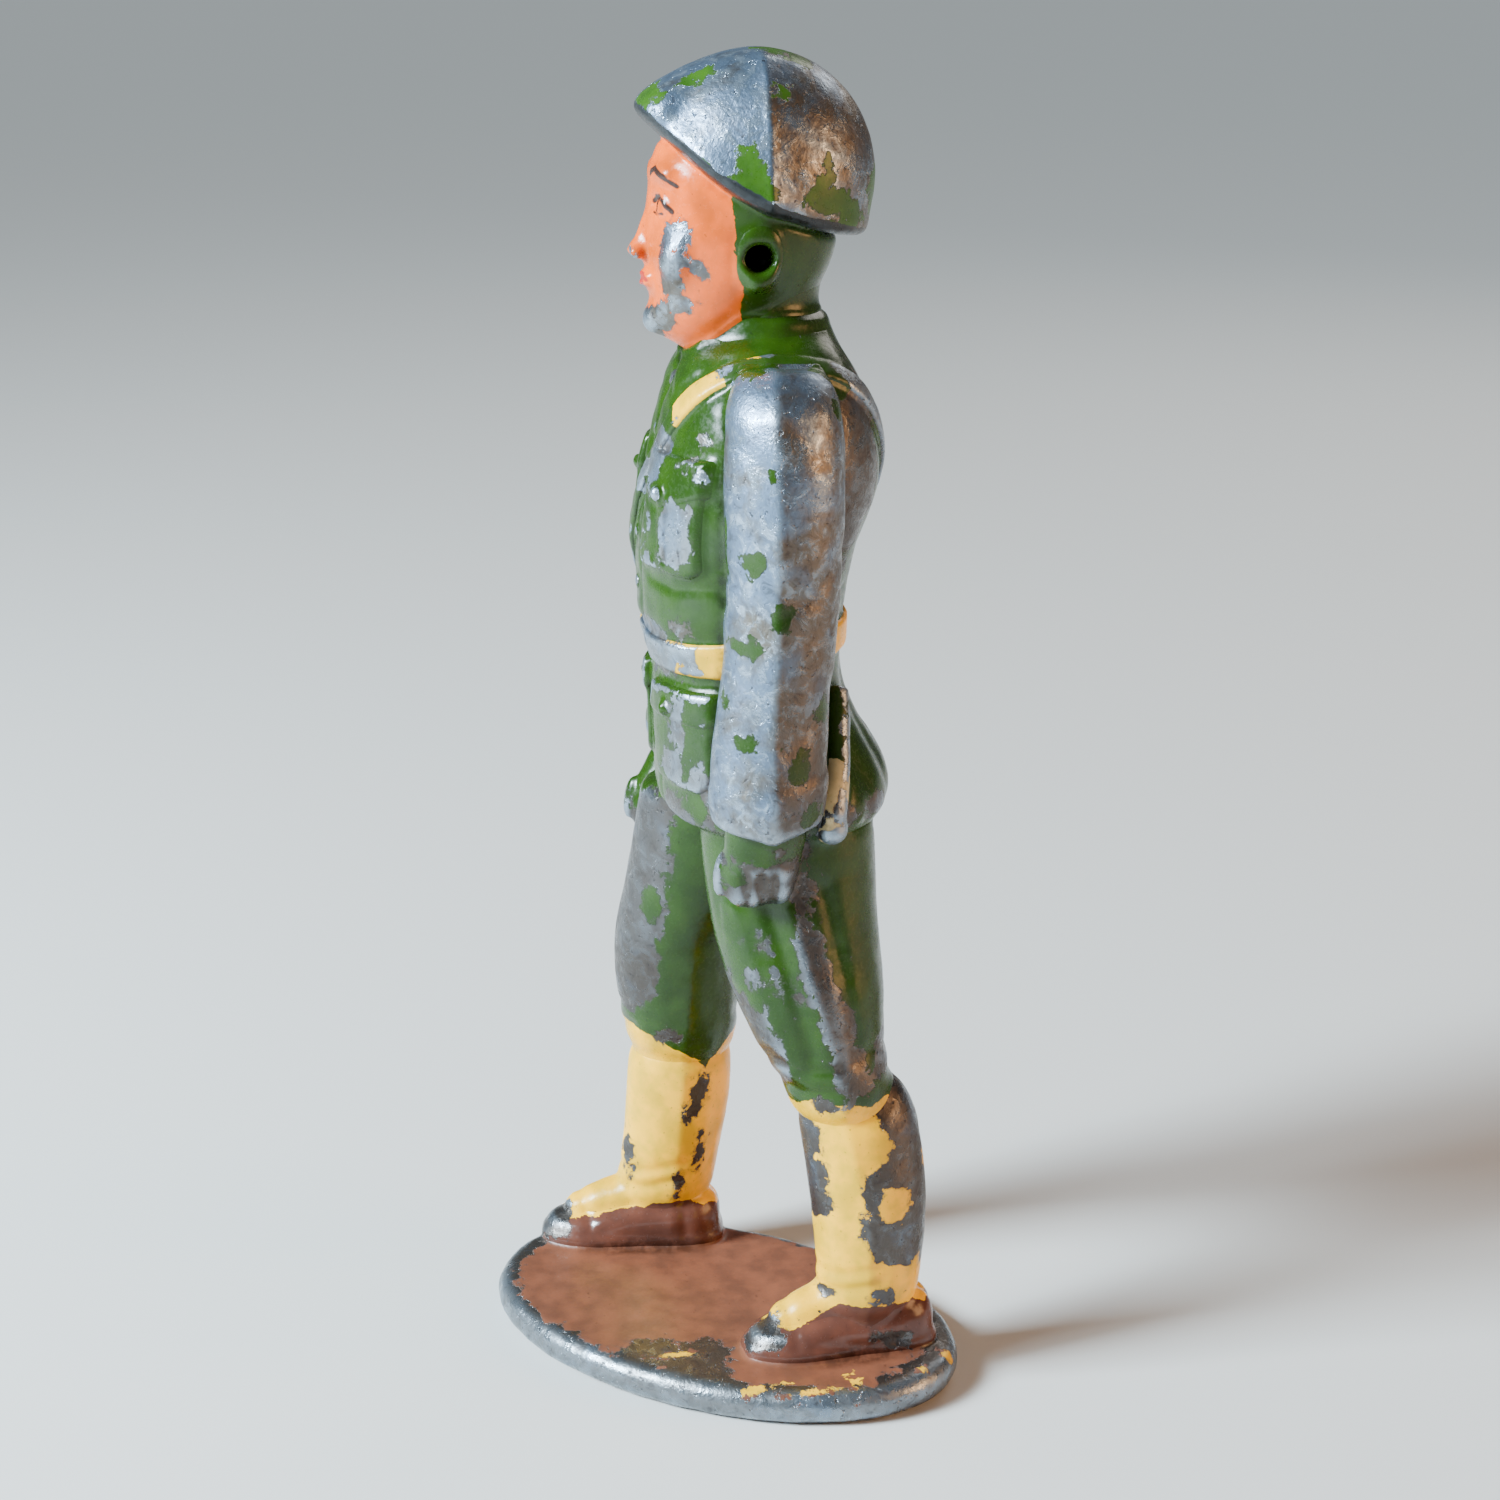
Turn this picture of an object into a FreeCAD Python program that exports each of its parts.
"""A painted, hollow-cast toy soldier walking on an oval base.

The figure faces -Y, its left side is +X, and Z is up.  The origin is the middle of the base's flat
underside.  Every region of the casting that is moulded or painted as its own thing is a closed solid,
written to parts/NAME.step.  All sizes are in millimetres.
"""

import FreeCAD, Part
import math
import os

from FreeCAD import Matrix, Vector

# Driving dimensions ------------------------------------------------------------------------------
TOTAL_HEIGHT = 79.0        # underside of the base to the crown of the helmet
BODY_X, BODY_Y = -2.1, 2.4  # the body's own vertical axis stands off the middle of the base
WALL = 1.4                 # skin left by the slush casting

BASE_LONG, BASE_SHORT = 31.6, 20.0
BASE_TURN = 52.0           # the oval's long axis, in degrees from +X
BASE_THICK = 2.2
BASE_ROUND = 0.95

SHOE_LENGTH, SHOE_WIDTH = 11.6, 5.0
SHOE_TOE_OUT = 6.0         # degrees
LEFT_SHOE = (8.0, 4.0)     # middle of each shoe from the body's axis
RIGHT_SHOE = (-8.0, -7.1)

HEM_Z = 34.9
WAIST_Z = 44.2             # lower edge of the belt at the front
WAIST_TILT = 5.0           # degrees the belt climbs towards the back
WAIST_FRONT_Y = -6.5
BELT_HEIGHT = 1.7
BELT_PROUD = 0.28
STRAP_WIDTH = 1.15
STRAP_PROUD = 0.26
STRAP_RISE = 1.23          # rise per millimetre across the chest
STRAP_MIDDLE_Z = 54.3      # where the strap crosses the middle of the chest
POCKET_PROUD = 0.3
FLAP_PROUD = 0.5
BUTTON_RADIUS = 0.5
CHEST_TOP_Z = 63.4
SCABBARD_RADIUS = 0.55
SCABBARD_ROUTE = [(5.2, 4.0, 42.9), (7.55, 3.75, 39.0), (8.8, 3.3, 36.6), (8.7, 3.2, 35.6)]
COLLAR_LOW_Z = 61.6

CHIN_Z = 63.0
EAR_Z, EAR_Y = 67.7, -0.45
HEAD_TILT = 12.0           # degrees the face is lifted
VENT_RADIUS = 0.8
HEAD_HALF_WIDTH = 4.9
HELMET_TILT = 28.0         # degrees the helmet is pushed back
HELMET_HALF_LENGTH, HELMET_HALF_WIDTH, HELMET_RISE = 7.0, 6.35, 7.25
HELMET_Y, HELMET_Z = -0.25, TOTAL_HEIGHT - HELMET_RISE
BRIM_HEIGHT, BRIM_PROUD = 0.9, 0.42
PEAK_Y, PEAK_Z = -5.6, 75.7

SQUARENESS = 2.25          # exponent of the body's oval sections; 2 is an ellipse
RING_POINTS = 16


# Building blocks ---------------------------------------------------------------------------------
def at(x, y, z):
    """A point measured from the body's axis."""
    return Vector(BODY_X + x, BODY_Y + y, z)


def signed_power(value, exponent):
    return math.copysign(abs(value) ** exponent, value)


def oval(centre, half_a, half_b, axis_a, axis_b, squareness=2.0):
    """A closed smooth wire: a superellipse in the plane of two unit axes."""
    points = []
    for k in range(RING_POINTS):
        t = 2 * math.pi * k / RING_POINTS
        a = half_a * signed_power(math.cos(t), 2 / squareness)
        b = half_b * signed_power(math.sin(t), 2 / squareness)
        points.append(centre + axis_a * a + axis_b * b)
    curve = Part.BSplineCurve()
    curve.interpolate(Points=points, PeriodicFlag=True)
    return Part.Wire(curve.toShape())


def level_loft(sections, grow=0.0, squareness=2.0):
    """A solid through level ovals, each (z, x, y, half width, half depth) from the body's axis."""
    wires = []
    for z, x, y, half_x, half_y in sections:
        ring = oval(at(x, y, z), half_x + grow, half_y + grow, Vector(1, 0, 0), Vector(0, 1, 0), squareness)
        wires.append(ring)
    return Part.makeLoft(wires, True, False)


def ellipsoid(centre, half_x, half_y, half_z, tilt=0.0):
    """An ellipsoid, turned by tilt degrees about X."""
    stretch = Matrix()
    stretch.scale(half_x, half_y, half_z)
    solid = Part.makeSphere(1.0).transformGeometry(stretch)
    solid.rotate(Vector(0, 0, 0), Vector(1, 0, 0), tilt)
    solid.translate(centre)
    return solid


def block(low, high):
    """A box between two corners measured from the body's axis."""
    size = [high[k] - low[k] for k in range(3)]
    return Part.makeBox(*size, at(*low))


def above(z):
    return block((-40, -40, z), (40, 40, 120))


def below(z):
    return block((-40, -40, -10), (40, 40, z))


def save(name, *shapes):
    """Writes one node from one or more separate solids."""
    solids = []
    for shape in shapes:
        solids.extend(shape.Solids)
    whole = solids[0] if len(solids) == 1 else Part.makeCompound(solids)
    for solid in solids:
        if not solid.isValid() or solid.Volume <= 0:
            raise ValueError(f"{name} is not a sound solid")
    whole.exportStep(f"parts/{name}.step")
    box = whole.BoundBox
    print(f"{name:20s} {len(solids)} solid(s) {whole.Volume:8.1f} mm3  "
          f"X {box.XMin:6.1f} {box.XMax:6.1f}  Y {box.YMin:6.1f} {box.YMax:6.1f}  "
          f"Z {box.ZMin:5.1f} {box.ZMax:5.1f}")
    return whole.Volume


# The body's sections: (z, x, y, half width, half depth) --------------------------------------------
CHEST = [
    (42.0, 0, -0.58, 7.3, 5.55),
    (44.1, 0, -0.65, 7.2, 5.5),
    (46.2, 0, -0.82, 7.4, 5.8),
    (50.0, 0, -0.75, 8.0, 6.25),
    (54.0, 0, 0.1, 8.5, 6.75),
    (57.5, 0, 0.55, 8.6, 6.3),
    (60.3, 0, 0.6, 7.9, 5.4),
    (62.2, 0, 0.6, 6.0, 4.4),
    (CHEST_TOP_Z, 0, 0.6, 4.3, 3.8),
]
SKIRT = [
    (HEM_Z, 0, 0.75, 8.4, 6.2),
    (35.5, 0, 0.9, 8.95, 6.8),
    (36.6, 0, 0.95, 8.95, 6.95),
    (39.0, 0, 0.4, 8.3, 6.45),
    (41.8, 0, -0.42, 7.6, 5.75),
    (44.4, 0, -0.65, 7.25, 5.5),
    (47.0, 0, -0.82, 7.3, 5.75),
]
LEFT_THIGH = [
    (17.4, 7.1, 4.25, 2.8, 3.0),
    (18.7, 7.05, 4.1, 3.25, 3.3),
    (20.5, 6.7, 3.45, 3.6, 3.65),
    (24.0, 6.1, 2.5, 4.1, 4.4),
    (28.0, 5.2, 1.75, 4.4, 4.95),
    (32.0, 4.5, 1.4, 4.4, 5.15),
    (HEM_Z, 4.3, 1.2, 4.3, 5.2),
]
RIGHT_THIGH = [
    (15.8, -7.2, -3.8, 2.9, 3.2),
    (17.2, -7.1, -3.85, 3.4, 3.6),
    (19.5, -6.9, -4.0, 3.75, 3.9),
    (24.0, -6.2, -4.0, 4.1, 4.15),
    (28.0, -5.3, -3.1, 4.35, 4.4),
    (32.0, -4.6, -2.2, 4.35, 4.7),
    (HEM_Z, -4.3, -1.6, 4.3, 4.9),
]
LEFT_LEG = [
    (4.3, 8.0, 5.6, 2.3, 3.1),
    (6.4, 8.0, 5.75, 2.6, 3.2),
    (10.0, 7.85, 5.85, 2.95, 3.45),
    (13.5, 7.6, 5.65, 3.1, 3.65),
    (16.2, 7.3, 5.3, 3.0, 3.65),
    (18.6, 7.1, 4.75, 2.8, 3.35),
    (20.2, 7.0, 4.0, 2.3, 2.9),
]
RIGHT_LEG = [
    (4.3, -8.0, -5.1, 2.3, 3.1),
    (6.0, -7.95, -4.9, 2.6, 3.2),
    (10.0, -7.7, -4.3, 2.9, 3.3),
    (13.5, -7.4, -4.0, 3.05, 3.4),
    (17.0, -7.15, -3.8, 2.85, 3.1),
]
LEFT_ARM = [
    (36.6, 9.5, -0.7, 2.5, 2.95),
    (38.6, 9.5, -0.65, 2.7, 3.2),
    (42.0, 9.35, -0.4, 2.6, 3.15),
    (47.5, 9.2, 0.15, 2.55, 3.05),
    (52.5, 9.1, 0.35, 2.75, 3.2),
    (57.5, 8.8, 0.4, 2.95, 3.25),
    (60.4, 8.1, 0.4, 2.85, 3.0),
    (62.0, 6.9, 0.45, 2.2, 2.3),
]
RIGHT_ARM = [
    (36.0, -9.1, -2.8, 2.35, 2.55),
    (38.0, -9.2, -2.5, 2.6, 2.9),
    (42.0, -9.25, -1.7, 2.6, 3.0),
    (47.5, -9.2, -0.8, 2.55, 3.05),
    (52.5, -9.1, 0.0, 2.75, 3.2),
    (57.5, -8.8, 0.3, 2.95, 3.25),
    (60.4, -8.1, 0.4, 2.85, 3.0),
    (62.0, -6.9, 0.45, 2.2, 2.3),
]
LEFT_HAND = [
    (31.3, 9.0, -1.3, 0.9, 1.1),
    (32.0, 9.1, -1.2, 1.35, 1.9),
    (33.6, 9.2, -1.0, 1.55, 2.3),
    (35.4, 9.35, -0.8, 1.6, 2.3),
    (36.6, 9.45, -0.7, 1.55, 2.1),
]
RIGHT_HAND = [
    (30.0, -8.4, -4.9, 0.9, 1.1),
    (30.8, -8.5, -4.8, 1.35, 1.9),
    (32.6, -8.7, -4.5, 1.55, 2.3),
    (34.6, -8.9, -3.6, 1.6, 2.3),
    (36.0, -9.05, -2.9, 1.55, 2.1),
]
NECK = [
    (60.6, 0, 0.5, 3.9, 3.6),
    (63.0, 0, 0.2, 3.5, 3.4),
    (66.0, 0, 0.3, 3.5, 3.4),
    (69.5, 0, 0.8, 3.6, 3.5),
]
HEAD = [
    (CHIN_Z - 0.7, 0, -2.8, 1.7, 1.6),
    (CHIN_Z + 0.4, 0, -2.5, 2.9, 3.3),
    (65.4, 0, -1.4, 4.1, 4.75),
    (68.0, 0, -0.85, 4.7, 5.45),
    (71.0, 0, -0.5, HEAD_HALF_WIDTH, 5.65),
    (74.0, 0, -0.2, 4.8, 5.3),
    (76.5, 0, 0.0, 3.8, 4.2),
]
# Small rounded forms that make the face, before the head is tilted:
# (x, y, z, half width, half depth, half height, lean)
FACE_FORMS = [
    (0.0, -6.15, 67.8, 0.6, 0.75, 1.7, -14.0),     # bridge of the nose
    (0.0, -6.6, 66.4, 0.85, 0.75, 0.6, 0.0),       # tip of the nose
    (0.0, -6.1, 71.0, 3.1, 0.8, 0.75, 0.0),        # brow
    (0.0, -5.6, 64.9, 1.25, 0.6, 0.6, 0.0),        # mouth
    (0.0, -4.9, 62.8, 1.25, 0.8, 0.95, 0.0),       # chin
]
FACE_PAIRS = [
    (2.35, -4.4, 66.6, 1.5, 1.3, 1.6, 0.0),        # cheeks
    (1.75, -5.95, 69.3, 0.85, 0.5, 0.5, 0.0),      # eyes
]
# The lower edge of the helmet, seen from the side: (y, z) from the front to the back
RIM = [(-9.5, 77.3), (-7.0, 75.5), (-3.0, 72.0), (0.6, 69.95), (6.2, 68.3), (10.0, 67.6)]
# Outlines on the tunic's left front, as (x, z)
BREAST_POCKET = [(2.4, 50.7), (2.8, 50.3), (6.8, 50.3), (7.2, 50.7), (7.2, 56.0), (2.4, 56.0)]
BREAST_FLAP = [(2.2, 55.0), (4.8, 54.0), (7.4, 55.0), (7.4, 56.8), (2.2, 56.8)]
HIP_POCKET = [(1.9, 38.1), (2.5, 37.5), (6.6, 37.5), (7.2, 38.1), (6.9, 42.6), (2.1, 42.6)]
HIP_FLAP = [(1.8, 41.8), (2.1, 41.5), (6.9, 41.5), (7.2, 41.8), (7.0, 43.2), (2.0, 43.2)]


# Regions of the casting ----------------------------------------------------------------------------
def base_plate():
    """The oval slab, rounded all round its top and bottom edge."""
    turn = math.radians(BASE_TURN)
    ellipse = Part.Ellipse(Vector(0, 0, 0), BASE_LONG / 2, BASE_SHORT / 2)
    slab = Part.Face(Part.Wire(ellipse.toShape())).extrude(Vector(0, 0, BASE_THICK))
    rims = [edge for edge in slab.Edges if len(edge.Vertexes) == 1 and abs(edge.BoundBox.ZLength) < 0.01]
    slab = slab.makeFillet(BASE_ROUND, rims)
    slab.rotate(Vector(0, 0, 0), Vector(0, 0, 1), math.degrees(turn))
    return slab


def shoe(middle, toe_out):
    """A low shoe: ovals across its length, cut flat by the top of the base."""
    length = SHOE_LENGTH
    width = SHOE_WIDTH
    # share of the length from the toe, share of the width, top of the upper over the base
    stations = [
        (0.0, 0.34, 1.0), (0.07, 0.66, 1.75), (0.22, 0.94, 2.2), (0.42, 1.0, 2.9),
        (0.62, 1.0, 3.6), (0.82, 1.0, 3.7), (0.95, 0.78, 3.2), (1.0, 0.42, 2.2),
    ]
    wires = []
    for share, wide, top in stations:
        half_z = (top + 1.0) / 2
        centre = Vector(0, (share - 0.5) * length, BASE_THICK - 1.0 + half_z)
        wires.append(oval(centre, wide * width / 2, half_z, Vector(1, 0, 0), Vector(0, 0, 1), 2.4))
    solid = Part.makeLoft(wires, True, False)
    solid.rotate(Vector(0, 0, 0), Vector(0, 0, 1), toe_out)
    solid.translate(at(middle[0], middle[1], 0))
    return solid.common(above(BASE_THICK))


def gaiter_spat(middle, toe_out):
    """The part of a legging that spreads over the instep of the shoe."""
    length = SHOE_LENGTH
    stations = [
        (0.10, 0.36, 1.85), (0.2, 0.54, 2.8), (0.34, 0.64, 3.55), (0.5, 0.7, 4.6), (0.62, 0.72, 5.7),
    ]
    wires = []
    for share, wide, top in stations:
        centre = Vector(0, (share - 0.5) * length, BASE_THICK + top / 2 + 0.35)
        wires.append(oval(centre, wide * SHOE_WIDTH / 2, top / 2, Vector(1, 0, 0), Vector(0, 0, 1)))
    solid = Part.makeLoft(wires, True, False)
    solid.rotate(Vector(0, 0, 0), Vector(0, 0, 1), toe_out)
    solid.translate(at(middle[0], middle[1], 0))
    return solid


def rim_curtain():
    """Everything below the helmet's lower edge, right across the head."""
    points = [at(-12, y, z) for y, z in RIM]
    curve = Part.BSplineCurve()
    curve.interpolate(points)
    front, back = points[0], points[-1]
    low_front = Vector(front.x, front.y, 55)
    low_back = Vector(back.x, back.y, 55)
    outline = Part.Wire([
        curve.toShape(),
        Part.LineSegment(back, low_back).toShape(),
        Part.LineSegment(low_back, low_front).toShape(),
        Part.LineSegment(low_front, front).toShape(),
    ])
    return Part.Face(outline).extrude(Vector(24, 0, 0))


def helmet_dome(grow):
    return ellipsoid(
        at(0, HELMET_Y, HELMET_Z),
        HELMET_HALF_WIDTH + grow, HELMET_HALF_LENGTH + grow, HELMET_RISE + grow, -HELMET_TILT,
    )


def helmet():
    """A dome cut along the rim curtain, with a brim that stands proud round its edge."""
    curtain = rim_curtain()
    dome = helmet_dome(0.0).cut(curtain)
    lifted = curtain.copy()
    lifted.translate(Vector(0, 0, BRIM_HEIGHT))
    brim = helmet_dome(BRIM_PROUD).common(lifted).cut(curtain)
    peak = ellipsoid(at(0, PEAK_Y, PEAK_Z), 3.7, 2.6, 1.1, 33.0).cut(curtain)
    return dome.fuse([brim, peak]).removeSplitter()


def head_core():
    """The hollow inside the head and helmet."""
    return ellipsoid(at(0, 0.1, 71.0), HEAD_HALF_WIDTH - WALL, 5.4 - WALL, 6.6 - WALL)


def body_core():
    """The hollow inside the chest, the skirt and the neck."""
    chest = level_loft([s for s in CHEST if 44 < s[0] < 62], -WALL, SQUARENESS)
    skirt = level_loft([s for s in SKIRT if 36 < s[0] < 46], -WALL, SQUARENESS)
    neck = level_loft([(58.5, 0, 0.6, 2.2, 2.2), (64.0, 0, 0.4, 2.1, 2.1), (68.5, 0, 0.3, 2.4, 2.6)])
    return chest.fuse([skirt, neck])


def thigh_bore(sections):
    """The hollow of one thigh, running up into the hollow of the skirt."""
    inner = [s for s in sections if s[0] > 20]
    inner.append((HEM_Z + 2 * WALL, *sections[-1][1:]))
    return level_loft(inner, -WALL)


def tilted(shape):
    """Leans a shape with the belt, about the belt's lowest point at the front."""
    shape.rotate(at(0, WAIST_FRONT_Y, WAIST_Z), Vector(1, 0, 0), WAIST_TILT)
    return shape


def strap_band():
    """The slanting slab that the shoulder strap lies in, square to the front view."""
    reach = 30.0
    band = Part.makeBox(2 * reach, 2 * reach, STRAP_WIDTH, Vector(-reach, -reach, -STRAP_WIDTH / 2))
    band.rotate(Vector(0, 0, 0), Vector(0, 1, 0), -math.degrees(math.atan(STRAP_RISE)))
    band.translate(at(0, 0, STRAP_MIDDLE_Z))
    return band


def front_panel(outline, side):
    """A prism through the front of the tunic with an (x, z) outline, on the given side."""
    points = [at(side * x, 0, z) for x, z in outline]
    face = Part.Face(Part.makePolygon(points + points[:1]))
    return face.extrude(Vector(0, -20, 0))


def front_of(sections, x, z):
    """The y of the body's front surface at a given width and height."""
    for low, high in zip(sections, sections[1:]):
        if low[0] <= z <= high[0]:
            share = (z - low[0]) / (high[0] - low[0])
            y, half_x, half_y = (low[k] + (high[k] - low[k]) * share for k in (2, 3, 4))
            return y - half_y * (1 - (abs(x) / half_x) ** SQUARENESS) ** (1 / SQUARENESS)
    raise ValueError(f"z {z} is outside the sections")


def button(x, z, stand_off=0.0):
    """A low domed button on the chest."""
    y = front_of(CHEST, x, z) - stand_off
    return ellipsoid(at(x, y, z), BUTTON_RADIUS, 0.3, BUTTON_RADIUS)


def scabbard():
    """A slim sheath with a rounded tip, lying against the skirt behind the left hand."""
    route = [at(*point) for point in SCABBARD_ROUTE]
    pieces = []
    for start, end in zip(route, route[1:]):
        run = end - start
        pieces.append(Part.makeCylinder(SCABBARD_RADIUS, run.Length, start, run))
        pieces.append(Part.makeSphere(SCABBARD_RADIUS, end))
    pieces.append(Part.makeSphere(SCABBARD_RADIUS * 1.35, route[-1]))
    return pieces[0].fuse(pieces[1:])


def biggest(shape):
    return max(shape.Solids, key=lambda solid: solid.Volume)


def face_forms():
    """The rounded forms of the face, lifted with the head about the line through the ears."""
    forms = list(FACE_FORMS)
    for x, *rest in FACE_PAIRS:
        forms.extend([(x, *rest), (-x, *rest)])
    solids = [ellipsoid(at(*form[:3]), *form[3:]) for form in forms]
    for solid in solids:
        solid.rotate(at(0, 0, EAR_Z), Vector(1, 0, 0), -HEAD_TILT)
    return solids


def main():
    os.makedirs("parts", exist_ok=True)
    curtain = rim_curtain()
    core = body_core()

    save("base_plate", base_plate())

    left_shoe = shoe(LEFT_SHOE, SHOE_TOE_OUT)
    right_shoe = shoe(RIGHT_SHOE, -SHOE_TOE_OUT)
    save("left_shoe", left_shoe)
    save("right_shoe", right_shoe)

    left_thigh = level_loft(LEFT_THIGH)
    right_thigh = level_loft(RIGHT_THIGH).cut(left_thigh)
    left_legging = level_loft(LEFT_LEG).fuse(gaiter_spat(LEFT_SHOE, SHOE_TOE_OUT))
    right_legging = level_loft(RIGHT_LEG).fuse(gaiter_spat(RIGHT_SHOE, -SHOE_TOE_OUT))
    save("left_legging", left_legging.cut([left_shoe, left_thigh, below(BASE_THICK)]))
    save("right_legging", right_legging.cut([right_shoe, right_thigh, below(BASE_THICK)]))

    bores = [thigh_bore(LEFT_THIGH), thigh_bore(RIGHT_THIGH)]
    save("left_breeches", left_thigh.cut(bores))
    save("right_breeches", right_thigh.cut(bores))

    # The body above the hem is one form, parted by the belt's leaning plane
    chest_form = level_loft(CHEST, 0.0, SQUARENESS)
    skirt_form = level_loft(SKIRT, 0.0, SQUARENESS)
    over_belt = tilted(block((-40, -40, WAIST_Z), (40, 40, 120)))
    under_belt = tilted(block((-40, -40, -20), (40, 40, WAIST_Z)))
    chest = chest_form.common(over_belt)
    skirt = skirt_form.common(under_belt)
    belt_zone = tilted(block((-20, -20, WAIST_Z), (20, 20, WAIST_Z + BELT_HEIGHT)))
    belt = level_loft(CHEST, BELT_PROUD, SQUARENESS).common(belt_zone).cut(chest_form)
    save("waist_belt", belt)
    front = front_of(CHEST, 0, 45)
    buckle = block((-1.5, front - 0.45, WAIST_Z - 0.15), (1.5, front + 1, WAIST_Z + BELT_HEIGHT + 0.15))
    save("belt_buckle", biggest(tilted(buckle).cut([chest_form, skirt, belt])))

    neck = level_loft(NECK)
    head_form = level_loft(HEAD).fuse(face_forms())
    collar = level_loft([(COLLAR_LOW_Z, 0, 0.55, 4.9, 4.4), (64.3, 0, 0.3, 4.1, 3.8)])
    strap = level_loft(CHEST, STRAP_PROUD, SQUARENESS).common(strap_band()).common(over_belt)
    strap = strap.cut([chest_form, collar, belt])
    save("shoulder_strap", strap)

    thighs = [left_thigh, right_thigh]
    left_sleeve = level_loft(LEFT_ARM).cut([chest, skirt, belt, strap])
    right_sleeve = level_loft(RIGHT_ARM).cut([chest, skirt, belt, strap])
    save("left_sleeve", left_sleeve)
    save("right_sleeve", right_sleeve)
    save("left_hand", level_loft(LEFT_HAND).cut([skirt, left_sleeve] + thighs))
    save("right_hand", level_loft(RIGHT_HAND).cut([skirt, right_sleeve] + thighs))
    sheath = scabbard().cut([skirt, left_sleeve, left_thigh, belt])
    save("bayonet_scabbard", biggest(sheath))

    # Pockets: a low pouch with a prouder flap along its top, and a button on each breast flap
    taken = [left_sleeve, right_sleeve, strap, belt]
    for name, side in (("left", 1), ("right", -1)):
        for place, form, pouch, flap in (
            ("breast", CHEST, BREAST_POCKET, BREAST_FLAP),
            ("hip", SKIRT, HIP_POCKET, HIP_FLAP),
        ):
            body = level_loft(form, 0.0, SQUARENESS)
            low = level_loft(form, POCKET_PROUD, SQUARENESS).common(front_panel(pouch, side))
            high = level_loft(form, FLAP_PROUD, SQUARENESS).common(front_panel(flap, side))
            save(f"{name}_{place}_pocket", biggest(low.cut([body, high] + taken)))
            save(f"{name}_{place}_flap", biggest(high.cut([body] + taken)))

    coat_buttons = [button(0, z) for z in (48.6, 51.6, 57.6, 60.4)]
    save("coat_buttons", *[biggest(one.cut([chest_form, strap])) for one in coat_buttons])

    # Above the hem the thighs' hollows stop short of the skirt's own wall
    skirt_room = level_loft(SKIRT, -WALL, SQUARENESS)
    save("tunic_skirt", skirt.cut([core] + [bore.common(skirt_room) for bore in bores]))
    save("tunic_body", chest.cut([core, neck, collar]))
    save("collar", collar.cut([neck, head_form]))
    dome = helmet_dome(BRIM_PROUD).cut(curtain)
    save("neck", biggest(neck.cut([head_form, core, dome])))

    head_hollow = [head_core(), core]
    face = biggest(head_form.common(curtain).cut(head_hollow))
    vent = Part.makeCylinder(VENT_RADIUS, 6.0, at(1.5, EAR_Y, EAR_Z), Vector(1, 0, 0))
    for name, side in (("left_ear", 1), ("right_ear", -1)):
        ear = ellipsoid(at(side * 4.6, EAR_Y, EAR_Z), 0.65, 1.3, 1.95)
        save(name, biggest(ear.common(curtain).cut([head_form, neck, vent])))
    save("head", face.cut(vent))
    save("helmet", helmet().cut(head_core()))


main()
